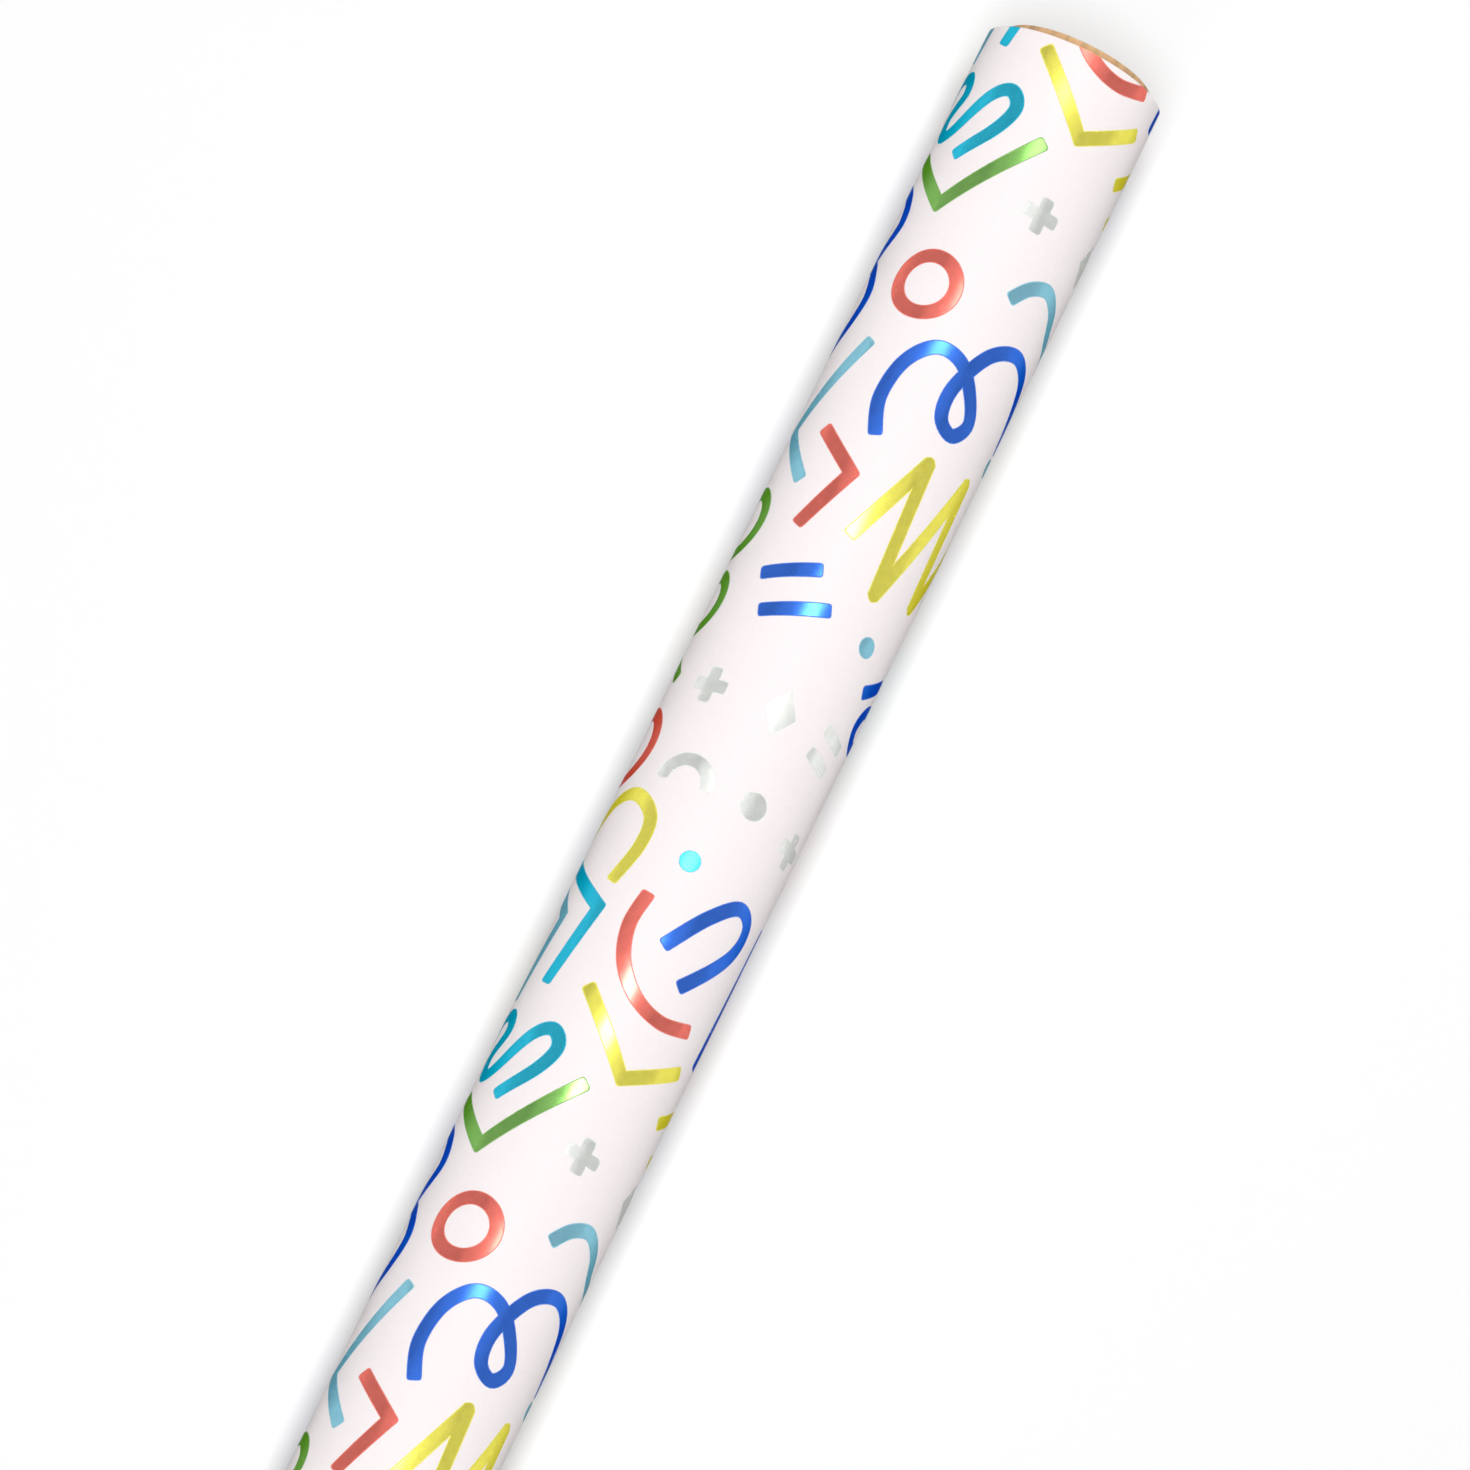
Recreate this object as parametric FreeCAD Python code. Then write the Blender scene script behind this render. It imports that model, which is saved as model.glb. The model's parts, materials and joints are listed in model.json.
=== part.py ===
import FreeCAD, Part
import math
import os

# Wrapping paper roll: one long printed sheet wound on a cardboard core.
#
# The roll lies on its side. Its axis runs along X, +Z is up, and the origin is on the ground under the
# middle of the roll. Angles round the roll start at its top and grow towards -Y.
#
# The sheet's last turn ends in a free tail. It comes off the roll at the roll's lowest line and wraps up
# the -Y side, and three tape tabs hold it down. The tail is cut into narrow strips, each hinged to the
# one before, so that it can open out flat along the ground.
#
# All lengths are in millimetres and all angles in degrees.

# Driving dimensions
SHEET_WIDTH = 762.0        # web width, 30 in
ROLL_RADIUS = 22.5         # outside of the last turn
CORE_RADIUS = 18.5         # outside of the cardboard core
PLY_THICKNESS = 0.4        # one of the core's three board plies
CORE_PROUD = 2.7           # how far the core stands out of each end of the sheet
PAPER_THICKNESS = 0.10     # one layer of the sheet
LAST_TURN_STEP = 0.25      # from the tail's outside to the outside of the turn below it
GLUE_WIDTH = 4.0           # pick-up glue line that holds the sheet's start to the core
GLUE_THICKNESS = 0.05
TAPE_HALF_LENGTH = 5.0     # round the roll, from the sheet's free edge each way
TAPE_WIDTH = 19.0          # along the roll
TAPE_THICKNESS = 0.05
TAPE_END_OFFSET = 320.0    # middle of an end tab, from the middle of the roll

# The tail
TAIL_ROOT = 176.0          # where the tail leaves the roll
BEND_STEP = 8.0            # width of one bending strip
BENDING_STRIPS = 7
LIP_STEP = 16.0            # width of the last strip, which the tape stiffens
STRIP_GAP = 0.03           # slit between two strips

# Worked out from the above
AXIS_HEIGHT = ROLL_RADIUS
CORE_LENGTH = SHEET_WIDTH + 2 * CORE_PROUD
FREE_EDGE = TAIL_ROOT - BENDING_STRIPS * BEND_STEP - LIP_STEP
UNDER_TAIL_RADIUS = ROLL_RADIUS - LAST_TURN_STEP
SPIRAL_TRAVEL = 360.0 - (TAIL_ROOT - FREE_EDGE)
SPIRAL_ARCS = 4
GLUE_ANGLE = 60.0          # middle of the glue line
TAPE_LIFT = 0.05           # air under the half of a tape tab that lies on the turn below
TAPE_RAMP = 1.0            # angle over which the tape drops from the tail to the turn below


def around(radius, angle, x=0.0):
    """The point at that radius and angle from the roll's axis."""
    a = math.radians(angle)
    return FreeCAD.Vector(x, -radius * math.sin(a), AXIS_HEIGHT + radius * math.cos(a))


def arc(radius, start, end, x):
    """A circular arc about the roll's axis."""
    middle = (start + end) / 2
    points = (around(radius, start, x), around(radius, middle, x), around(radius, end, x))
    return Part.Arc(*points).toShape()


def line(a, b):
    return Part.LineSegment(a, b).toShape()


def extruded(edges, length):
    """The closed outline, drawn out along +X."""
    return Part.Face(Part.Wire(edges)).extrude(FreeCAD.Vector(length, 0, 0))


def tube(outer, inner, length):
    """A round tube about the roll's axis, centred on the middle of the roll."""
    start = FreeCAD.Vector(-length / 2, 0, AXIS_HEIGHT)
    along = FreeCAD.Vector(1, 0, 0)
    return Part.makeCylinder(outer, length, start, along).cut(
        Part.makeCylinder(inner, length, start, along)
    )


def shell_sector(inner, outer, start, end, x, length):
    """A curved strip between two radii and two angles."""
    edges = [
        arc(inner, start, end, x),
        line(around(inner, end, x), around(outer, end, x)),
        arc(outer, end, start, x),
        line(around(outer, start, x), around(inner, start, x)),
    ]
    return extruded(edges, length)


def core_ply(index):
    """One board ply of the core. Ply 0 is the innermost."""
    outer = CORE_RADIUS - (2 - index) * PLY_THICKNESS
    return tube(outer, outer - PLY_THICKNESS, CORE_LENGTH)


def glue_line():
    """The line of glue between the core and the sheet's first turn."""
    half = math.degrees(GLUE_WIDTH / 2 / CORE_RADIUS)
    return shell_sector(
        CORE_RADIUS, CORE_RADIUS + GLUE_THICKNESS,
        GLUE_ANGLE - half, GLUE_ANGLE + half,
        -SHEET_WIDTH / 2, SHEET_WIDTH,
    )


def last_turn_radius(travel):
    """Outside radius of the last turn, at an angle of travel from the tail's root."""
    return ROLL_RADIUS - LAST_TURN_STEP * min(travel / SPIRAL_TRAVEL, 1.0)


def wound_sheet():
    """All the turns from the core to the tail's root. Its last turn spirals in under the tail."""
    x = -SHEET_WIDTH / 2
    edges = []
    step = SPIRAL_TRAVEL / SPIRAL_ARCS
    for i in range(SPIRAL_ARCS):
        travels = (i * step, (i + 0.5) * step, (i + 1) * step)
        points = [around(last_turn_radius(t), TAIL_ROOT + t, x) for t in travels]
        edges.append(Part.Arc(*points).toShape())
    edges.append(arc(UNDER_TAIL_RADIUS, FREE_EDGE, TAIL_ROOT, x))
    edges.append(line(around(UNDER_TAIL_RADIUS, TAIL_ROOT, x), around(ROLL_RADIUS, TAIL_ROOT, x)))
    start = FreeCAD.Vector(x, 0, AXIS_HEIGHT)
    bore = Part.makeCylinder(CORE_RADIUS, SHEET_WIDTH, start, FreeCAD.Vector(1, 0, 0))
    return extruded(edges, SHEET_WIDTH).cut(bore).cut(glue_line())


def tail_strips():
    """The tail's strips, from its root to the sheet's free edge."""
    slit = math.degrees(STRIP_GAP / ROLL_RADIUS)
    widths = [BEND_STEP] * BENDING_STRIPS + [LIP_STEP]
    start = TAIL_ROOT
    strips = []
    for width in widths:
        strips.append(shell_sector(
            ROLL_RADIUS - PAPER_THICKNESS, ROLL_RADIUS,
            start - slit, start - width,
            -SHEET_WIDTH / 2, SHEET_WIDTH,
        ))
        start -= width
    return strips


def tape_tab(middle):
    """A tape tab over the sheet's free edge, half on the tail and half on the turn below."""
    x = middle - TAPE_WIDTH / 2
    reach = math.degrees(TAPE_HALF_LENGTH / ROLL_RADIUS)
    low = UNDER_TAIL_RADIUS + TAPE_LIFT
    high = ROLL_RADIUS
    foot = FREE_EDGE - TAPE_RAMP
    t = TAPE_THICKNESS
    edges = [
        arc(high, FREE_EDGE + reach, FREE_EDGE, x),
        line(around(high, FREE_EDGE, x), around(low, foot, x)),
        arc(low, foot, FREE_EDGE - reach, x),
        line(around(low, FREE_EDGE - reach, x), around(low + t, FREE_EDGE - reach, x)),
        arc(low + t, FREE_EDGE - reach, foot, x),
        line(around(low + t, foot, x), around(high + t, FREE_EDGE, x)),
        arc(high + t, FREE_EDGE, FREE_EDGE + reach, x),
        line(around(high + t, FREE_EDGE + reach, x), around(high, FREE_EDGE + reach, x)),
    ]
    return extruded(edges, TAPE_WIDTH)


def main():
    os.makedirs("parts", exist_ok=True)
    nodes = {
        "core_inner_ply": core_ply(0),
        "core_middle_ply": core_ply(1),
        "core_outer_ply": core_ply(2),
        "pickup_glue_line": glue_line(),
        "wound_sheet": wound_sheet(),
        "tape_tab_left": tape_tab(-TAPE_END_OFFSET),
        "tape_tab_middle": tape_tab(0.0),
        "tape_tab_right": tape_tab(TAPE_END_OFFSET),
    }
    for number, strip in enumerate(tail_strips(), start=1):
        nodes[f"tail_strip_{number}"] = strip
    for name, shape in nodes.items():
        print(name, shape.isValid(), len(shape.Solids), round(shape.Volume, 2))
        shape.exportStep(f"parts/{name}.step")


main()
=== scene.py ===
import json
import math
import random

import bmesh
import bpy
import numpy
from mathutils import Matrix, Vector
from mathutils.geometry import delaunay_2d_cdt


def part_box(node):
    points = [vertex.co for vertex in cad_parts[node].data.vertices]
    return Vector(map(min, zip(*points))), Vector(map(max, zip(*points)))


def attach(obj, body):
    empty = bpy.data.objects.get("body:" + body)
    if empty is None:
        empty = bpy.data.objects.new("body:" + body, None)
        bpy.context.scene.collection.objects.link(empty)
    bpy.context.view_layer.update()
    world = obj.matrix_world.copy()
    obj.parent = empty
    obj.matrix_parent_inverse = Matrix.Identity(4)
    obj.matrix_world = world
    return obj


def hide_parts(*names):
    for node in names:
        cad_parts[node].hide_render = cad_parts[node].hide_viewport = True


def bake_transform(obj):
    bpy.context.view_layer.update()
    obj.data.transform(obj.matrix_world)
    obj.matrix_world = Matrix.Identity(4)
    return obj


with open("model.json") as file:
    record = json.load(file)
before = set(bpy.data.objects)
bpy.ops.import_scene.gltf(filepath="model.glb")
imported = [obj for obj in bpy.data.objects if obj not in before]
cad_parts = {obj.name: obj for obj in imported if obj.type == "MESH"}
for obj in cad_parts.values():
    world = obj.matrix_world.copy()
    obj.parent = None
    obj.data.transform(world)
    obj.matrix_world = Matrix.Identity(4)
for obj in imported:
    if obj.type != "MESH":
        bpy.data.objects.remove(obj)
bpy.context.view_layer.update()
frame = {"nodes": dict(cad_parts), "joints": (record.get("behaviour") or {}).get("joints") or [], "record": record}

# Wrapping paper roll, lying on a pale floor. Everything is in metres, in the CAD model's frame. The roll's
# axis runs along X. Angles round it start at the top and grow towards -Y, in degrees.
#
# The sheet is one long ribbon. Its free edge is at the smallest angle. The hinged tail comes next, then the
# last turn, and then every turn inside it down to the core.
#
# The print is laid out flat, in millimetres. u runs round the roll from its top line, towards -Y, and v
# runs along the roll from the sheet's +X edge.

MM = 0.001


# ---------------------------------------------------------------- sizes, read from the frame

def frame_mount(name):
    """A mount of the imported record, by its name."""
    return next(m for m in frame["record"]["mounts"] if m["name"] == name)


def angle_at(y, z):
    """The angle round the roll of a point, from 0 to 360."""
    return math.degrees(math.atan2(-y, z - AXIS_HEIGHT)) % 360


AXIS_HEIGHT = frame_mount("core_bore")["pos_m"][2]
ROLL_RADIUS = AXIS_HEIGHT
BORE_RADIUS = frame_mount("core_bore")["dims"]["r_mm"] * MM
SHEET_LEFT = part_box("wound_sheet")[0].x
SHEET_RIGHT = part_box("wound_sheet")[1].x
CORE_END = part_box("core_outer_ply")[1].x
CORE_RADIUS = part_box("core_outer_ply")[1].z - AXIS_HEIGHT

HINGES = [angle_at(j["pos_m"][1], j["pos_m"][2]) for j in frame["joints"]]
TAIL_BODIES = [j["child"] for j in frame["joints"]]
TAIL_ROOT = HINGES[0]
BEND_STEP = HINGES[0] - HINGES[1]
FREE_EDGE = HINGES[-1] - 2 * BEND_STEP

GLUE_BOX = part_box("pickup_glue_line")
GLUE_ANGLE = angle_at((GLUE_BOX[0].y + GLUE_BOX[1].y) / 2, (GLUE_BOX[0].z + GLUE_BOX[1].z) / 2)

PAPER_THICKNESS = 0.10 * MM
GLUE_THICKNESS = 0.05 * MM
LAST_TURN_STEP = 0.25 * MM      # from the tail's outside to the outside of the turn below it
SPIRAL_TRAVEL = 360 - (TAIL_ROOT - FREE_EDGE)
INNER_TURNS = 32                # inside the last one. The innermost ends short of a whole turn
SHEET_START = GLUE_ANGLE + 360 * (INNER_TURNS + 1)
FACET = 2                       # degrees between two lines of points round the last turn
INNER_FACET = 5                 # the same for the turns inside it
TAIL_FACET = 1                  # and for the tail, which bends
STRAY_IN = -0.22 * MM           # how far an inner turn's edges may stray in or out
STRAY_OUT = 0.10 * MM

INK_HEIGHT = 0.010 * MM         # the coloured ink under each foil stroke
FOIL_HEIGHT = 0.025 * MM
INK_BORDER = 0.25               # mm, how far the ink shows round the foil
STROKE = 3.15                   # mm, width of a foil stroke
CORNER = 0.8                    # mm, radius of the corners at a stroke's end
REPEAT = 254.0                  # mm, the print's repeat along the roll
COLUMN = 82.0                   # mm, the print's repeat round the roll, with a half drop


def share_of_turn(travel):
    """How much of its inward step the last turn has made at that angle of travel."""
    return min(travel / SPIRAL_TRAVEL, 1.0)


def inner_turn_count(angle):
    """How many pitches an angle inside the last turn lies below the last turn's inner end."""
    turns, travel = divmod(angle - TAIL_ROOT, 360)
    return turns - 1 + share_of_turn(travel)


INNERMOST_RADIUS = CORE_RADIUS + GLUE_THICKNESS + PAPER_THICKNESS
TURN_PITCH = (ROLL_RADIUS - LAST_TURN_STEP - INNERMOST_RADIUS) / inner_turn_count(SHEET_START)


def sheet_radius(angle):
    """Radius of the sheet's outer face, anywhere from its free edge to its start on the core."""
    travel = angle - TAIL_ROOT
    if travel <= 0:
        return ROLL_RADIUS
    if travel < 360:
        return ROLL_RADIUS - LAST_TURN_STEP * share_of_turn(travel)
    return ROLL_RADIUS - LAST_TURN_STEP - TURN_PITCH * inner_turn_count(angle)


def around(x, radius, angle):
    """The point at that place along the axis, radius and angle."""
    a = math.radians(angle)
    return Vector((x, -radius * math.sin(a), AXIS_HEIGHT + radius * math.cos(a)))


def on_sheet(x, angle, lift=0.0):
    """A point that stands lift above the sheet's outer face."""
    return around(x, sheet_radius(angle) + lift, angle)


# ---------------------------------------------------------------- camera

VIEW_ELEVATION = 74.1           # above the horizon, looking along the roll from its -X end
VIEW_TURN = 26.0                # the roll's lean in the picture, clockwise from upright
LENS = 800.0
SENSOR = 36.0
PICTURE_WIDTH = 343.6 * MM      # at the roll
AIM = Vector((SHEET_RIGHT - 181.4 * MM, 3.5 * MM, AXIS_HEIGHT))


def make_camera():
    """A long lens, so that the roll keeps one width along its whole length."""
    camera = bpy.data.objects.new("camera", bpy.data.cameras.new("camera"))
    bpy.context.scene.collection.objects.link(camera)
    camera.data.lens = LENS
    camera.data.sensor_width = SENSOR
    camera.data.clip_end = 100
    elevation = math.radians(VIEW_ELEVATION)
    turn = math.radians(VIEW_TURN)
    back = Vector((-math.cos(elevation), 0, math.sin(elevation)))
    along = Vector((math.sin(elevation), 0, math.cos(elevation)))
    across = along.cross(back)
    right = across * math.cos(turn) + along * math.sin(turn)
    up = along * math.cos(turn) - across * math.sin(turn)
    place = Matrix((right, up, back)).transposed().to_4x4()
    place.translation = AIM + back * (PICTURE_WIDTH * LENS / SENSOR)
    camera.matrix_world = place
    bpy.context.scene.camera = camera


# ---------------------------------------------------------------- mesh helpers

def add_object(name, points, faces, material, smooth_angle=30):
    """A new mesh object, shaded smooth except across edges sharper than smooth_angle."""
    mesh = bpy.data.meshes.new(name)
    mesh.from_pydata(points, [], faces)
    return finish_object(name, mesh, material, smooth_angle)


def finish_object(name, mesh, material, smooth_angle=30):
    """The object for a filled mesh, shaded in the same way."""
    mesh.validate()
    mesh.polygons.foreach_set("use_smooth", [True] * len(mesh.polygons))
    mesh.set_sharp_from_angle(angle=math.radians(smooth_angle))
    mesh.materials.append(material)
    piece = bpy.data.objects.new(name, mesh)
    bpy.context.scene.collection.objects.link(piece)
    return piece


def steps(start, end, size):
    """Evenly spaced values from start to end, about size apart."""
    count = max(1, round((end - start) / size))
    return [start + (end - start) * i / count for i in range(count + 1)]


# ---------------------------------------------------------------- the sheet

def ribbon_points(angle, left, right):
    """The sheet's cross-section at one angle: its outer face's two ends, then its inner face's."""
    return [
        on_sheet(left, angle),
        on_sheet(right, angle),
        on_sheet(right, angle, -PAPER_THICKNESS),
        on_sheet(left, angle, -PAPER_THICKNESS),
    ]


def ribbon(name, angles, ends, material):
    """A closed stretch of sheet through the given angles, with the sheet's two ends at each."""
    points = []
    faces = [(0, 1, 2, 3)]
    for angle, (left, right) in zip(angles, ends):
        points += ribbon_points(angle, left, right)
    for i in range(len(angles) - 1):
        a, b = 4 * i, 4 * i + 4
        for k in range(4):
            n = (k + 1) % 4
            faces.append((a + k, b + k, b + n, a + n))
    last = 4 * (len(angles) - 1)
    faces.append((last + 3, last + 2, last + 1, last))
    return add_object(name, points, faces, material)


def make_wound_sheet(paper):
    """The last turn and all the turns inside it, as one spiral. Each inner turn's edges stray a little."""
    inner_end = TAIL_ROOT + 360
    angles = steps(TAIL_ROOT, inner_end, FACET) + steps(inner_end, SHEET_START, INNER_FACET)[1:]
    stray = random.Random(11)
    offsets = [0.0, 0.0] + [stray.uniform(STRAY_IN, STRAY_OUT) for _ in range(INNER_TURNS + 2)]
    ends = []
    for angle in angles:
        turn, part = divmod(max(angle - TAIL_ROOT, 0) / 360, 1)
        turn = int(turn)
        offset = offsets[turn] * (1 - part) + offsets[turn + 1] * part
        ends.append((SHEET_LEFT - offset, SHEET_RIGHT + offset))
    piece = ribbon("wound_paper", angles, ends, paper)
    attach(piece, "roll")
    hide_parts("wound_sheet")


def tail_stretches():
    """The tail's stretches: (start angle, end angle, body before, body after). The last has one body."""
    bodies = ["roll"] + TAIL_BODIES
    cuts = [TAIL_ROOT] + [h - BEND_STEP / 2 for h in HINGES] + [FREE_EDGE]
    pairs = zip(cuts, cuts[1:])
    return [(a, b, bodies[i], bodies[min(i + 1, len(bodies) - 1)]) for i, (a, b) in enumerate(pairs)]


def follow_tail(piece, stretch):
    """The piece rides on the last strip if its stretch is the last; otherwise its transform is only baked into its
    mesh.
    """
    start, end, before, after = stretch
    if before == after:
        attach(piece, after)
    else:
        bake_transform(piece)


def make_tail(paper):
    """The free end of the sheet, in stretches: one round each hinge, and one out to the free edge."""
    for number, stretch in enumerate(tail_stretches(), start=1):
        angles = steps(stretch[1], stretch[0], TAIL_FACET)
        ends = [(SHEET_LEFT, SHEET_RIGHT)] * len(angles)
        piece = ribbon(f"tail_paper_{number}", angles, ends, paper)
        follow_tail(piece, stretch)
        if number <= len(TAIL_BODIES):
            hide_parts(f"tail_strip_{number}")


# ---------------------------------------------------------------- the print: flat shapes

BEND_DETAIL = 0.8               # mm between two points of a bend
CURL_DETAIL = 0.9               # mm between two points of a curl
FEWEST_SPANS = 4                # in a bend, or between two of a curl's points
DOT_SIDES = 20


def chevron(*points):
    """Straight strokes that meet in sharp corners, as separate runs."""
    return [list(pair) for pair in zip(points, points[1:])]


def bend(centre, radius, start, end):
    """One run along a circle. Angles are in degrees, from +u towards +v."""
    length = abs(math.radians(end - start)) * radius
    count = max(FEWEST_SPANS, round(length / BEND_DETAIL))
    turns = [math.radians(start + (end - start) * i / count) for i in range(count + 1)]
    return [[(centre[0] + radius * math.cos(t), centre[1] + radius * math.sin(t)) for t in turns]]


def ring(centre, radius):
    """A closed run: its last point is its first."""
    run = bend(centre, radius, 0, 360)[0]
    run[-1] = run[0]
    return [run]


def curl(*points):
    """One smooth run through the points."""
    ends = [points[0]] + list(points) + [points[-1]]
    knots = [Vector(p) for p in ends]
    run = []
    for before, a, b, after in zip(knots, knots[1:], knots[2:], knots[3:]):
        count = max(FEWEST_SPANS, round((b - a).length / CURL_DETAIL))
        for i in range(count):
            t = i / count
            p = a + (b - before) * t / 2
            p += (before - a * 2.5 + b * 2 - after / 2) * t ** 2
            p += ((after - before) / 2 + (a - b) * 1.5) * t ** 3
            run.append((p.x, p.y))
    return [run + [points[-1]]]


def plus(centre, size):
    """Two straight strokes that cross, each reaching size from the middle."""
    u, v = centre
    return [[(u - size, v), (u + size, v)], [(u, v - size), (u, v + size)]]


def dot_outline(centre, radius):
    """A filled round dot, as one closed outline."""
    turns = [math.tau * i / DOT_SIDES for i in range(DOT_SIDES)]
    return [(centre[0] + radius * math.cos(t), centre[1] + radius * math.sin(t)) for t in turns]


def diamond_outline(centre, width, height):
    """A filled diamond, as one closed outline. Width and height are from its middle."""
    u, v = centre
    return [(u - width, v), (u, v - height), (u + width, v), (u, v + height)]


# Each mark is placed one by one: its colour and its runs of (u, v) points.
PRINT = [
    ("yellow", chevron((-9, 3), (8, 20), (24, 10))),
    ("turquoise", curl(
        (-37, 21), (-33.5, 15), (-28.5, 14), (-26.5, 18.5), (-30, 25), (-28.5, 30),
        (-24, 28), (-17, 18.5), (-12, 16), (-9, 20), (-12, 27), (-19.5, 35),
    )),
    ("green", chevron((-33, 35), (-17, 48), (1, 25))),
    ("yellow", chevron((25, 23), (36, 17))),
    ("yellow", chevron((32, 31), (38, 27))),
    ("blue", curl(
        (-36, 43), (-30, 47), (-27.5, 54), (-32, 61), (-35, 64),
        (-31, 66), (-27, 73), (-29.5, 81), (-36, 88),
    )),
    ("coral", ring((-10, 68), 7.3)),
    ("sky", curl((10, 62.5), (14, 57.5), (19.5, 55.2), (25, 58), (29.5, 63.5), (36, 67))),
    ("sky", chevron((-17, 85), (-31, 110), (-18, 123))),
    ("blue", curl(
        (-5, 107), (-8, 98), (-6.5, 88), (-1, 81.5), (6, 82), (12, 88), (15, 94), (12, 98.5),
        (7.5, 96), (7, 88), (12, 77), (19.5, 72.8), (26.5, 76), (31, 84), (34, 93),
    )),
    ("coral", chevron((-18, 109), (-6, 118), (-13, 134))),
    ("yellow", chevron((0, 132), (10, 107), (12, 142), (24, 105), (26, 138), (36, 117))),
    ("green", bend((-33, 134.5), 8, -100, 100)),
    ("green", bend((-33, 156), 7, -100, 100)),
    ("green", chevron((-36, 171), (-29, 177))),
    ("blue", chevron((-16, 148), (-2, 142.5))),
    ("blue", chevron((-12, 157), (4, 150.5))),
    ("blue", chevron((23, 162), (33, 156))),
    ("blue", curl((38, 162), (31, 164), (28, 169), (31, 173), (37, 172))),
    ("coral", bend((-34, 195), 9, -100, 100)),
    ("yellow", curl((-36, 219), (-29, 211), (-21, 208.5), (-14, 213), (-13, 221), (-16, 231))),
    ("turquoise", chevron((-36, 226), (-16, 238), (-21, 259))),
    ("sky", chevron((-38, 231), (-27.5, 241), (-33, 263))),
    ("coral", curl((-5.5, 231), (-6.5, 240), (-3.5, 249), (3, 255.5), (11, 257.5), (20, 255))),
    ("blue", curl((3, 241), (10, 230), (17, 223.5), (22.5, 226), (21.5, 234), (11, 248))),
    ("blue", chevron((34, 222), (31, 260))),
    ("silver", plus((8, 41), 4.5)),
    ("silver", plus((-15, 178), 4.5)),
    ("silver", chevron((17, 175), (25, 177))),
    ("silver", chevron((15, 182), (23, 184))),
    ("silver", bend((-10, 203), 6, 180, 360)),
    ("silver", plus((25, 204), 4.5)),
]

SPOTS = [
    ("sky", dot_outline((33, 97), 2.4)),
    ("sky", dot_outline((17, 153), 2.4)),
    ("turquoise", dot_outline((0, 220), 2.4)),
    ("silver", diamond_outline((31, 43), 4.0, 6.0)),
    ("silver", diamond_outline((4, 178), 4.0, 6.0)),
    ("silver", dot_outline((8, 201), 3.4)),
]


# ---------------------------------------------------------------- the print: outlines and plates

def rounded_end(end, outward, half_width):
    """(point, half width) from a stroke's end inwards, with its two corners rounded."""
    rows = []
    for share in (0.0, 0.15, 0.45, 1.0):
        inset = CORNER * share
        narrowed = CORNER - math.sqrt(CORNER ** 2 - (CORNER - inset) ** 2)
        rows.append((end - outward * inset, half_width - narrowed))
    return rows


def with_ends(run, half_width, grow, joined):
    """(point, half width) along a run. Only its free ends are stretched by grow and rounded."""
    points = [Vector(p) for p in run]
    head = [(points[0], half_width)]
    tail = [(points[-1], half_width)]
    if not joined[0]:
        outward = (points[0] - points[1]).normalized()
        head = rounded_end(points[0] + outward * grow, outward, half_width)
    if not joined[1]:
        outward = (points[-1] - points[-2]).normalized()
        tail = rounded_end(points[-1] + outward * grow, outward, half_width)[::-1]
    clear = CORNER * 1.2
    body = [
        (p, half_width) for p in points[1:-1]
        if (p - points[0]).length > clear and (p - points[-1]).length > clear
    ]
    return head + body + tail


def ribbon_triangles(rows, closed):
    """The triangles of a flat ribbon, from its centre line and half widths."""
    count = len(rows)
    left, right = [], []
    for i, (p, width) in enumerate(rows):
        before = rows[i - 1][0] if i > 0 or closed else p
        after = rows[(i + 1) % count][0] if i < count - 1 or closed else p
        along = (after - before).normalized()
        side = Vector((-along.y, along.x)) * width
        left.append(p + side)
        right.append(p - side)
    triangles = []
    for i in range(count if closed else count - 1):
        n = (i + 1) % count
        triangles += [[left[i], right[i], right[n]], [left[i], right[n], left[n]]]
    return triangles


def corner_patch(before, corner, after, half_width):
    """Fills the outside of a corner between two straight strokes, with a slightly rounded tip.

    Where the stroke turns back sharply, the tip is blunt.
    """
    a = (corner - before).normalized()
    b = (after - corner).normalized()
    turn = a.x * b.y - a.y * b.x
    hand = -1 if turn > 0 else 1
    side_a = Vector((-a.y, a.x)) * half_width * hand
    side_b = Vector((-b.y, b.x)) * half_width * hand
    middle = (side_a + side_b).normalized()
    lean = middle.dot(side_a) / half_width
    sharpest = 0.55             # below this the tip would be a spike
    blunt = 1.1                 # a blunt tip's reach, in half widths
    straight = 0.4              # share of the patch's two sides that isn't rounded
    reach = half_width / lean if lean > sharpest else half_width * blunt
    tip = corner + middle * reach
    start = (corner + side_a).lerp(tip, straight)
    end = (corner + side_b).lerp(tip, straight)
    rounded = [start.lerp(tip, t).lerp(tip.lerp(end, t), t) for t in (0, 0.25, 0.5, 0.75, 1)]
    return [corner, corner + side_a, *rounded, corner + side_b]


def stroke_faces(runs, grow):
    """The flat faces that cover a mark's strokes. Faces may overlap."""
    half_width = STROKE / 2 + grow
    faces = []
    for i, run in enumerate(runs):
        closed = run[0] == run[-1]
        if closed:
            rows = [(Vector(p), half_width) for p in run[:-1]]
        else:
            after_corner = i > 0 and runs[i - 1][-1] == run[0]
            before_corner = i < len(runs) - 1 and runs[i + 1][0] == run[-1]
            rows = with_ends(run, half_width, grow, (after_corner, before_corner))
        faces += ribbon_triangles(rows, closed)
    for first, second in zip(runs, runs[1:]):
        if first[-1] == second[0]:
            before, corner, after = Vector(first[-2]), Vector(first[-1]), Vector(second[1])
            faces.append(corner_patch(before, corner, after, half_width))
    return faces


def grown_outline(outline, grow):
    """A convex outline with each point moved away from its middle."""
    points = [Vector(p) for p in outline]
    middle = sum(points, Vector((0, 0))) / len(points)
    return [p + (p - middle).normalized() * grow for p in points]


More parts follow.
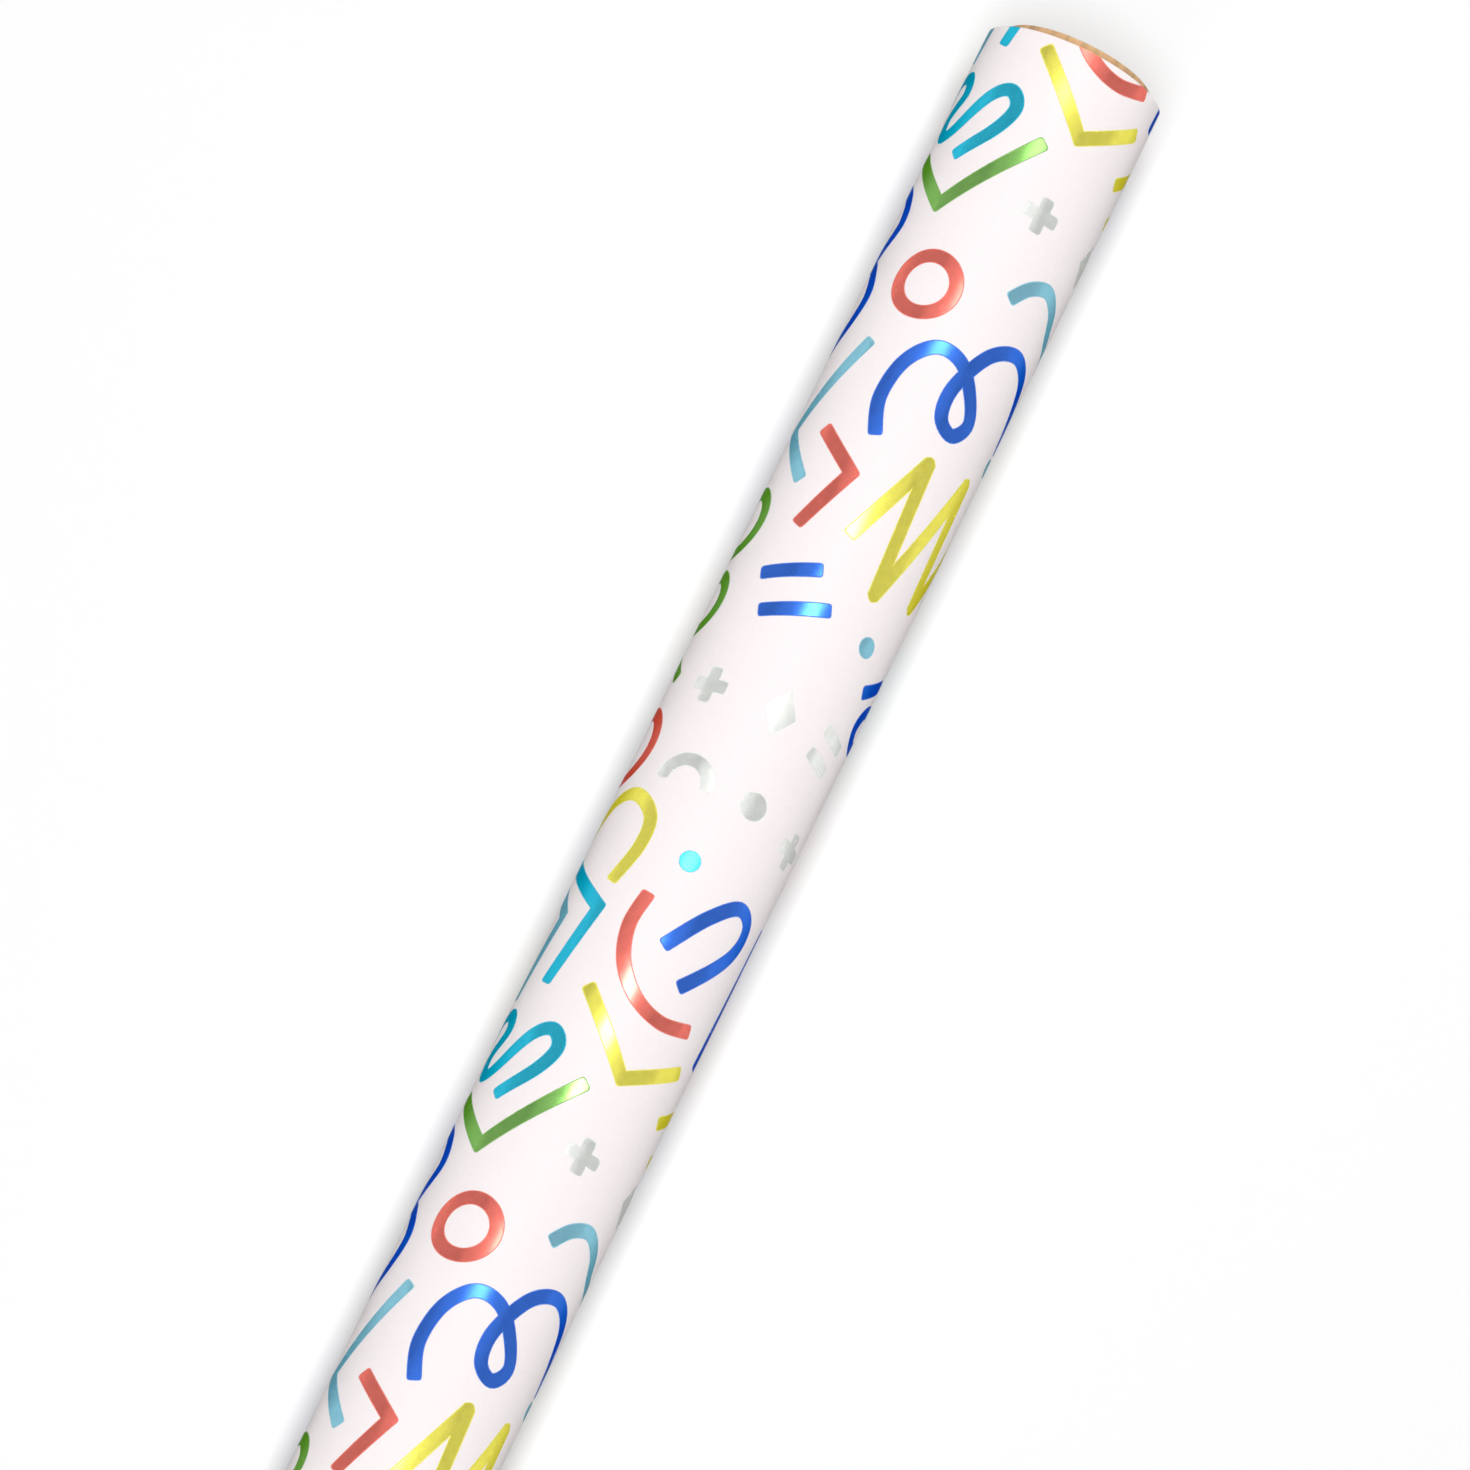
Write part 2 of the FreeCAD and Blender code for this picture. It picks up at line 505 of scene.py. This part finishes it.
def flat_to_angle(u):
    """The angle along the sheet at a distance u round from the last turn's top line."""
    return 360 + math.degrees(u * MM / ROLL_RADIUS)


def angle_to_flat(angle):
    """The distance u of an angle along the sheet."""
    return math.radians(angle - 360) * ROLL_RADIUS / MM


PRINT_LOW = angle_to_flat(FREE_EDGE)
PRINT_HIGH = angle_to_flat(TAIL_ROOT + 360)
WEB = (SHEET_RIGHT - SHEET_LEFT) / MM
SAME_PLACE = 4                  # points that agree to this many decimals of a mm are one point


def anticlockwise(face):
    """The face, turned over if it runs clockwise."""
    area = sum(a.x * b.y - a.y * b.x for a, b in zip(face, face[1:] + face[:1]))
    return face if area > 0 else face[::-1]


def covered(points, faces):
    """For each point, whether it lies in any of the faces, which are convex and anticlockwise."""
    points = numpy.array(points)
    inside = numpy.zeros(len(points), bool)
    for face in faces:
        corners = numpy.array(face)
        sides = numpy.roll(corners, -1, axis=0) - corners
        reach = points[:, None] - corners
        inside |= (sides[:, 0] * reach[..., 1] >= sides[:, 1] * reach[..., 0]).all(axis=1)
    return inside


def cut_flat(faces):
    """The faces' union as triangles, cut along the sheet's facet lines and at the web's two edges."""
    faces = [anticlockwise(face) for face in faces]
    points = [p for face in faces for p in face]
    indices = []
    for face in faces:
        start = indices[-1][-1] + 1 if indices else 0
        indices.append(list(range(start, start + len(face))))
    low_u, high_u = min(p.x for p in points) - 1, max(p.x for p in points) + 1
    low_v, high_v = min(p.y for p in points) - 1, max(p.y for p in points) + 1
    lines = []
    first = math.ceil(flat_to_angle(low_u) / FACET)
    last = math.floor(flat_to_angle(high_u) / FACET)
    for k in range(first, last + 1):
        u = angle_to_flat(k * FACET)
        lines.append((Vector((u, low_v)), Vector((u, high_v))))
    for v in (0, WEB):
        if low_v < v < high_v:
            lines.append((Vector((low_u, v)), Vector((high_u, v))))
    edges = []
    for a, b in lines:
        edges.append((len(points), len(points) + 1))
        points += [a, b]
    made, _, triangles, _, _, _ = delaunay_2d_cdt(points, edges, indices, 0, 1e-5)
    triangles = [[made[i] for i in triangle] for triangle in triangles]
    middles = [sum(triangle, Vector((0, 0))) / 3 for triangle in triangles]
    return [
        triangle for triangle, middle, inside in zip(triangles, middles, covered(middles, faces))
        if inside and PRINT_LOW < middle.x < PRINT_HIGH and 0 < middle.y < WEB
    ]


def repeated(faces):
    """The faces at every place where the print repeats on the sheet."""
    for column in (-1, 0, 1):
        drop = REPEAT / 2 if column else 0.0
        for row in range(-2, math.ceil(WEB / REPEAT) + 1):
            offset = Vector((COLUMN * column, REPEAT * row + drop))
            moved = [[p + offset for p in face] for face in faces]
            flat = [p for face in moved for p in face]
            on_web = max(p.y for p in flat) > 0 and min(p.y for p in flat) < WEB
            on_turn = max(p.x for p in flat) > PRINT_LOW and min(p.x for p in flat) < PRINT_HIGH
            if on_web and on_turn:
                yield moved


def plate(name, triangles, low, high, material):
    """A closed plate over the flat triangles, wrapped on the sheet between two heights above it."""
    keys = {}
    flat = []
    corners = []
    for triangle in triangles:
        row = []
        for p in triangle:
            key = (round(p.x, SAME_PLACE), round(p.y, SAME_PLACE))
            if key not in keys:
                keys[key] = len(flat)
                flat.append(p)
            row.append(keys[key])
        if len(set(row)) == 3:
            corners.append(row)
    count = len(flat)
    points = []
    for lift in (high, low):
        points += [on_sheet(SHEET_RIGHT - p.y * MM, flat_to_angle(p.x), lift) for p in flat]
    faces = []
    edges = set()
    for a, b, c in corners:
        faces += [(c, b, a), (a + count, b + count, c + count)]
        edges |= {(a, b), (b, c), (c, a)}
    faces += [(a, b, b + count, a + count) for a, b in sorted(edges) if (b, a) not in edges]
    return add_object(name, points, faces, material)


def stretch_of(triangle):
    """The stretch of tail that a flat triangle lies on, counted from 1, or 0 for the roll."""
    angle = flat_to_angle(sum(p.x for p in triangle) / 3)
    for number, (start, end, _, _) in enumerate(tail_stretches(), start=1):
        if end < angle < start:
            return number
    return 0


def make_print(foils, inks):
    """Every mark, as a foil plate on a slightly wider ink plate, in one piece per colour and stretch."""
    marks = [(colour, stroke_faces(runs, 0), stroke_faces(runs, INK_BORDER)) for colour, runs in PRINT]
    for colour, outline in SPOTS:
        marks.append((colour, [grown_outline(outline, 0)], [grown_outline(outline, INK_BORDER)]))
    layers = {}
    for colour, foil_faces, ink_faces in marks:
        for layer, faces in (("foil", foil_faces), ("ink", ink_faces)):
            for moved in repeated(faces):
                for triangle in cut_flat(moved):
                    layers.setdefault((layer, colour, stretch_of(triangle)), []).append(triangle)
    stretches = tail_stretches()
    for (layer, colour, number), triangles in sorted(layers.items()):
        place = f"tail_{number}" if number else "roll"
        low, high = (INK_HEIGHT, FOIL_HEIGHT) if layer == "foil" else (0.0, INK_HEIGHT)
        material = foils[colour] if layer == "foil" else inks[colour]
        piece = plate(f"{layer}_{colour}_{place}", triangles, low, high, material)
        if number:
            follow_tail(piece, stretches[number - 1])
        else:
            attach(piece, "roll")


# ---------------------------------------------------------------- the core

PLY_LEAD = 92 * MM              # each ply's strip moves this far along the core in one turn
SEAM_SLOPE = 0.35 * MM          # how far from its middle the butt seam's groove is 0.6 of its depth
SEAM_SIDE = 0.9 * MM            # how far from its middle it ends
SEAM_DEPTH = 0.06 * MM
TUBE_SIDES = 96


def board_tube(name, inner, outer, board, seam_phase, groove_in=0.0, groove_out=0.0):
    """One ply of the core: a strip wound in a helix, with its butt seam as a fine groove.

    The seam's phase is a share of the lead. Each groove is a depth, cut into the inside or the outside.
    """
    rows = [
        0.0, SEAM_SLOPE, SEAM_SIDE, 0.33 * PLY_LEAD, 0.66 * PLY_LEAD,
        PLY_LEAD - SEAM_SIDE, PLY_LEAD - SEAM_SLOPE,
    ]
    depths = [1.0, 0.6, 0.0, 0.0, 0.0, 0.0, 0.6]
    wraps = range(math.floor(-CORE_END / PLY_LEAD) - 2, math.ceil(CORE_END / PLY_LEAD) + 2)
    shape = bmesh.new()
    for base, groove, hand in ((inner, groove_in, 1), (outer, -groove_out, -1)):
        grid = []
        for wrap in wraps:
            for offset, depth in zip(rows, depths):
                line = []
                for j in range(TUBE_SIDES):
                    turn = j / TUBE_SIDES
                    x = (wrap + turn + seam_phase) * PLY_LEAD + offset
                    line.append(shape.verts.new(around(x, base + groove * depth, 360 * j / TUBE_SIDES)))
                grid.append(line)
        for i in range(len(grid) - 1):
            for j in range(TUBE_SIDES):
                last = j == TUBE_SIDES - 1
                shift = len(rows) if last else 0
                if i + 1 + shift >= len(grid):
                    continue
                k = 0 if last else j + 1
                face = [grid[i][j], grid[i + shift][k], grid[i + 1 + shift][k], grid[i + 1][j]]
                shape.faces.new(face if hand > 0 else reversed(face))
    for side in (-1, 1):
        whole = shape.verts[:] + shape.edges[:] + shape.faces[:]
        bmesh.ops.bisect_plane(
            shape, geom=whole, plane_co=(side * CORE_END, 0, 0), plane_no=(side, 0, 0), clear_outer=True
        )
    for side in (-1, 1):
        rim = [
            e for e in shape.edges
            if e.is_boundary and all(abs(v.co.x - side * CORE_END) < 1e-6 for v in e.verts)
        ]
        bmesh.ops.bridge_loops(shape, edges=rim)
    bmesh.ops.recalc_face_normals(shape, faces=shape.faces)
    mesh = bpy.data.meshes.new(name)
    shape.to_mesh(mesh)
    shape.free()
    piece = finish_object(name, mesh, board)
    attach(piece, "roll")
    return piece


def make_core(board):
    """The core's three plies. Only the seams on its inside and outside show."""
    ply = (CORE_RADIUS - BORE_RADIUS) / 3
    inner_wall = BORE_RADIUS + ply
    outer_wall = CORE_RADIUS - ply
    inner = board_tube("core_inner_board", BORE_RADIUS, inner_wall, board, 0.1, groove_in=SEAM_DEPTH)
    middle = board_tube("core_middle_board", inner_wall, outer_wall, board, 0.4)
    outer = board_tube("core_outer_board", outer_wall, CORE_RADIUS, board, 0.75, groove_out=SEAM_DEPTH)
    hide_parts("core_inner_ply")
    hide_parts("core_middle_ply")
    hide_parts("core_outer_ply")


# ---------------------------------------------------------------- tape

TAPE_THICKNESS = 0.05 * MM
TAPE_LIFT = 0.05 * MM           # air between the tape and the turn below the free edge
TAPE_REACH = 5.0 * MM           # round the roll, from the free edge each way
TAPE_RAMP = 1.0                 # degrees over which the tape comes down off the free edge
TAPE_FACET = 1.3                # degrees
TEETH = 19                      # along each end of a tab
TOOTH_DEPTH = 0.45 * MM
TOOTH_FADE = 8                  # power by which the teeth fade out, away from the ends


def make_tape(node, tape):
    """One tab of clear tape, from the tail over the sheet's free edge, with saw-cut ends."""
    low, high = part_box(node)
    reach = math.degrees(TAPE_REACH / ROLL_RADIUS)
    columns = [low.x + (high.x - low.x) * i / (2 * TEETH) for i in range(2 * TEETH + 1)]
    foot = steps(-reach, -TAPE_RAMP, TAPE_FACET)
    angles = foot + [-0.55 * TAPE_RAMP, 0.0] + steps(0.0, reach, TAPE_FACET)[1:]
    below = ROLL_RADIUS - LAST_TURN_STEP + TAPE_LIFT
    above = ROLL_RADIUS + FOIL_HEIGHT
    points = []
    for offset in angles:
        on_tail = min(max((offset + TAPE_RAMP) / TAPE_RAMP, 0.0), 1.0)
        radius = below + (above - below) * on_tail
        end_share = (abs(offset) / reach) ** TOOTH_FADE
        for i, x in enumerate(columns):
            tooth = math.degrees(TOOTH_DEPTH / ROLL_RADIUS * (i % 2))
            points.append((x, radius, FREE_EDGE + offset - math.copysign(tooth * end_share, offset)))
    count = len(points)
    wide = len(columns)
    shell = [around(x, radius + TAPE_THICKNESS, angle) for x, radius, angle in points]
    shell += [around(x, radius, angle) for x, radius, angle in points]
    faces = []
    edges = set()
    for i in range(len(angles) - 1):
        for j in range(wide - 1):
            a = i * wide + j
            quad = (a, a + 1, a + 1 + wide, a + wide)
            faces += [quad, tuple(k + count for k in reversed(quad))]
            edges |= set(zip(quad, quad[1:] + quad[:1]))
    faces += [(b, a, a + count, b + count) for a, b in sorted(edges) if (b, a) not in edges]
    piece = add_object(node.replace("tab", "strip"), shell, faces, tape)
    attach(piece, TAIL_BODIES[-1])
    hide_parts(node)


# ---------------------------------------------------------------- materials

def set_stops(ramp, stops):
    """Fills a colour ramp. Stops are (place, colour) or (place, grey)."""
    elements = ramp.color_ramp.elements
    while len(elements) < len(stops):
        elements.new(0.5)
    for element, (place, value) in zip(elements, stops):
        element.position = place
        element.color = (*value, 1) if isinstance(value, tuple) else (value, value, value, 1)


class Shader:
    """A node material round one Principled shader."""

    def __init__(self, name, colour, **settings):
        self.material = bpy.data.materials.new(name)
        self.material.use_nodes = True
        self.nodes = self.material.node_tree.nodes
        self.links = self.material.node_tree.links
        self.main = self.nodes["Principled BSDF"]
        self.main.inputs["Base Color"].default_value = (*colour, 1)
        for key, value in settings.items():
            self.main.inputs[key.title()].default_value = value

    def noise(self, scale, detail=3.0, stretch=(1, 1, 1)):
        """Noise over the piece's own coordinates. Returns its grey output."""
        place = self.nodes.new("ShaderNodeTexCoord")
        spread = self.nodes.new("ShaderNodeMapping")
        spread.inputs["Scale"].default_value = stretch
        texture = self.nodes.new("ShaderNodeTexNoise")
        texture.inputs["Scale"].default_value = scale
        texture.inputs["Detail"].default_value = detail
        self.links.new(place.outputs["Object"], spread.inputs["Vector"])
        self.links.new(spread.outputs["Vector"], texture.inputs["Vector"])
        return texture.outputs["Fac"]

    def ramp(self, source, *stops):
        node = self.nodes.new("ShaderNodeValToRGB")
        set_stops(node, stops)
        self.links.new(source, node.inputs["Fac"])
        return node.outputs["Color"]

    def remap(self, source, start, end, low=0.0, high=1.0, smooth=False):
        """The source, mapped from start..end to low..high."""
        node = self.nodes.new("ShaderNodeMapRange")
        node.interpolation_type = "SMOOTHSTEP" if smooth else "LINEAR"
        node.inputs["From Min"].default_value = start
        node.inputs["From Max"].default_value = end
        node.inputs["To Min"].default_value = low
        node.inputs["To Max"].default_value = high
        self.links.new(source, node.inputs["Value"])
        return node.outputs["Result"]

    def feed(self, socket, source):
        self.links.new(source, self.main.inputs[socket])

    def bump(self, source, strength, distance):
        node = self.nodes.new("ShaderNodeBump")
        node.inputs["Strength"].default_value = strength
        node.inputs["Distance"].default_value = distance
        self.links.new(source, node.inputs["Height"])
        self.links.new(node.outputs["Normal"], self.main.inputs["Normal"])


def shade(colour, factor):
    """The colour made darker or lighter."""
    return tuple(min(c * factor, 1.0) for c in colour)


def paper_material():
    """Blush-white coated paper: almost even, with a fine fibre in its colour and surface."""
    base = (0.860, 0.802, 0.806)
    shader = Shader("blush_paper", base)
    shader.main.inputs["Specular IOR Level"].default_value = 0.15
    shader.main.inputs["Diffuse Roughness"].default_value = 0.15
    fibres = shader.noise(900)
    shader.feed("Base Color", shader.ramp(fibres, (0.3, shade(base, 0.985)), (0.7, shade(base, 1.01))))
    shader.feed("Roughness", shader.ramp(shader.noise(350), (0.3, 0.46), (0.7, 0.54)))
    shader.bump(shader.noise(2600, 4), 0.12, 0.02 * MM)
    return shader.material


def board_material():
    """Raw kraft board: long fibres, dark flecks and a dry surface."""
    base = (0.60, 0.375, 0.19)
    shader = Shader("kraft_board", base, roughness=0.85)
    fibres = shader.noise(500, 6, stretch=(0.25, 1, 1))
    dark, light, pale = shade(base, 0.78), shade(base, 1.12), shade(base, 1.22)
    shader.feed("Base Color", shader.ramp(fibres, (0.30, dark), (0.46, base), (0.62, light), (0.74, pale)))
    shader.bump(shader.noise(1500, 6, stretch=(0.3, 1, 1)), 0.35, 0.05 * MM)
    return shader.material


FOIL_COLOURS = {
    "blue": (0.047, 0.165, 0.687),
    "turquoise": (0.034, 0.480, 0.670),
    "sky": (0.250, 0.546, 0.672),
    "coral": (0.791, 0.181, 0.144),
    "yellow": (0.847, 0.776, 0.125),
    "green": (0.209, 0.445, 0.114),
    "silver": (0.807, 0.823, 0.791),
}


def foil_material(name, colour):
    """Hot stamped foil: a soft metal sheen, slightly uneven where it was pressed on."""
    shader = Shader(f"foil_{name}", colour, metallic=1.0)
    glancing = 0.473            # how white a bare metal turns at 82 degrees, which the tint takes back
    tint = tuple(c / (c + (1 - c) * glancing) for c in colour)
    shader.main.inputs["Specular Tint"].default_value = (*tint, 1)
    patches = shader.noise(400)
    shader.feed("Base Color", shader.ramp(patches, (0.3, shade(colour, 0.95)), (0.7, shade(colour, 1.04))))
    shader.feed("Roughness", shader.ramp(shader.noise(300), (0.3, 0.22), (0.7, 0.28)))
    shader.bump(shader.noise(900, 2), 0.03, 0.02 * MM)
    return shader.material


def ink_material(name, colour):
    """The matt ink that edges each foil stroke."""
    shader = Shader(f"ink_{name}", colour, roughness=0.55)
    grain = shader.noise(800)
    shader.feed("Base Color", shader.ramp(grain, (0.3, shade(colour, 0.85)), (0.7, colour)))
    return shader.material


def tape_material():
    """Clear film with a faint haze."""
    shader = Shader("clear_tape", (0.93, 0.94, 0.93), alpha=0.3)
    shader.feed("Roughness", shader.ramp(shader.noise(500), (0.3, 0.14), (0.7, 0.26)))
    shader.bump(shader.noise(300, 2), 0.1, 0.02 * MM)
    return shader.material


def glue_material():
    """Dried white glue."""
    base = (0.85, 0.80, 0.68)
    shader = Shader("dried_glue", base, roughness=0.35)
    shader.feed("Base Color", shader.ramp(shader.noise(900), (0.3, shade(base, 0.85)), (0.7, base)))
    shader.bump(shader.noise(1500), 0.3, 0.03 * MM)
    return shader.material


# ---------------------------------------------------------------- stage

FLOOR_SIZE = 8.0                # from the middle to each edge
FLOOR_GREY = 0.87
PAINTED_SHADE_GREY = 0.4                # painted shade: the darker grey the roll sees close by, which darkens its sides, its foil's edges and the crease under it
NEAR_END = 0.03                 # beside the roll's axis, where the near grey of painted shade starts to pale
FAR_START = 0.12                # and where it is the floor's own grey
GLOW_START = 0.4                # from the middle, where the floor starts to glow
GLOW_END = 2.6                  # and where its glow is full


def floor_plane(name, height, near_grey):
    """A wide matt plane. Far from the roll, where no lamp reaches, it glows, so that it stays as pale."""
    corners = [
        (-FLOOR_SIZE, -FLOOR_SIZE, height), (FLOOR_SIZE, -FLOOR_SIZE, height),
        (FLOOR_SIZE, FLOOR_SIZE, height), (-FLOOR_SIZE, FLOOR_SIZE, height),
    ]
    mesh = bpy.data.meshes.new(name)
    mesh.from_pydata(corners, [], [(0, 1, 2, 3)])
    shader = Shader(name, (FLOOR_GREY, FLOOR_GREY, FLOOR_GREY), roughness=0.9)
    shader.main.inputs["Specular IOR Level"].default_value = 0.0
    shader.main.inputs["Emission Color"].default_value = (1, 1, 1, 1)
    place = shader.nodes.new("ShaderNodeTexCoord")
    distance = shader.nodes.new("ShaderNodeVectorMath")
    distance.operation = "LENGTH"
    split = shader.nodes.new("ShaderNodeSeparateXYZ")
    aside = shader.nodes.new("ShaderNodeMath")
    aside.operation = "ABSOLUTE"
    shader.links.new(place.outputs["Object"], distance.inputs[0])
    shader.links.new(place.outputs["Object"], split.inputs["Vector"])
    shader.links.new(split.outputs["Y"], aside.inputs[0])
    glow = shader.remap(distance.outputs["Value"], GLOW_START, GLOW_END, smooth=True)
    shader.feed("Emission Strength", glow)
    # near the roll the grey falls to near_grey; on the bounce floor this darker band is painted shade for the
    # roll's sides and crease
    grey = shader.remap(aside.outputs["Value"], NEAR_END, FAR_START, near_grey, FLOOR_GREY)
    shader.feed("Base Color", grey)
    mesh.materials.append(shader.material)
    plane = bpy.data.objects.new(name, mesh)
    bpy.context.scene.collection.objects.link(plane)
    return plane


def make_floor():
    """A white floor for the camera, and just under it a greyer one for the light that the roll gets back. Close to
    the roll that one is darker still: painted shade on the roll's sides and the crease under it.
    """
    floor = floor_plane("floor", 0.0, FLOOR_GREY)
    floor.visible_diffuse = False
    floor.visible_glossy = False
    floor.visible_shadow = False
    # its near grey is painted shade, seen only by the roll
    bounce = floor_plane("floor_bounce", -0.1 * MM, PAINTED_SHADE_GREY)
    bounce.visible_camera = False


def softbox(name, place, aim, size_x, size_y, radiance, diffuse=True, sheen=True):
    """A rectangular light at place that faces aim, with the given radiance."""
    light = bpy.data.lights.new(name, "AREA")
    light.shape = "RECTANGLE"
    light.size = size_x
    light.size_y = size_y
    light.energy = radiance * size_x * size_y * math.pi
    lamp = bpy.data.objects.new(name, light)
    lamp.location = place
    lamp.rotation_euler = (Vector(aim) - Vector(place)).to_track_quat("-Z", "Y").to_euler()
    lamp.visible_camera = False
    lamp.visible_diffuse = diffuse
    lamp.visible_glossy = sheen
    bpy.context.scene.collection.objects.link(lamp)


def make_world():
    """A dim, even room above a white horizon."""
    world = bpy.data.worlds.new("studio")
    bpy.context.scene.world = world
    world.use_nodes = True
    nodes, links = world.node_tree.nodes, world.node_tree.links
    place = nodes.new("ShaderNodeTexCoord")
    split = nodes.new("ShaderNodeSeparateXYZ")
    ramp = nodes.new("ShaderNodeValToRGB")
    set_stops(ramp, [(0.0, 0.95), (0.03, 0.95), (0.07, 0.18), (0.4, 0.16), (1.0, 0.14)])
    links.new(place.outputs["Generated"], split.inputs["Vector"])
    links.new(split.outputs["Z"], ramp.inputs["Fac"])
    links.new(ramp.outputs["Color"], nodes["Background"].inputs["Color"])
    nodes["Background"].inputs["Strength"].default_value = 1.0


def make_lights():
    """A key light that doesn't show in the foil, two lamps, and boxes that show only in its sheen."""
    middle = (0.1, 0, 0)
    softbox("key", (0.2, 0, 2.4), (0.2, 0, 0), 2.6, 1.0, 7.6, sheen=False)
    softbox("lamp_left", (-1.1, 0, 1.2), middle, 0.5, 0.6, 1.5)
    softbox("lamp_right", (1.4, 0, 1.2), middle, 0.5, 0.6, 3.0)
    softbox("overhead", (0.35, 0, 1.1), (0.35, 0, 0), 1.6, 1.8, 0.82, diffuse=False)
    softbox("ridge", (0.35, 0, 1.05), (0.35, 0, 0), 1.6, 0.34, 0.7, diffuse=False)
    softbox("accent", (0.44, 0, 1.0), (0.44, 0, 0), 0.26, 0.28, 13.0, diffuse=False)
    for side in (-1, 1):
        place = (0.2, 1.3 * side, 0.62)
        softbox(f"card_{side}", place, (0.2, 0, 0.05), 2.6, 1.2, 0.58, diffuse=False)


# ---------------------------------------------------------------- the whole scene

def main():
    make_camera()
    make_world()
    make_floor()
    make_lights()
    bpy.context.scene.view_settings.view_transform = "Standard"

    paper = paper_material()
    board = board_material()
    foils = {name: foil_material(name, colour) for name, colour in FOIL_COLOURS.items()}
    inks = {name: ink_material(name, colour) for name, colour in FOIL_COLOURS.items()}

    make_wound_sheet(paper)
    make_tail(paper)
    make_print(foils, inks)
    make_core(board)
    tape = tape_material()
    for node in ("tape_tab_left", "tape_tab_middle", "tape_tab_right"):
        make_tape(node, tape)
    glue_line = frame["nodes"]["pickup_glue_line"].data
    glue_line.materials.clear()
    glue_line.materials.append(glue_material())


main()
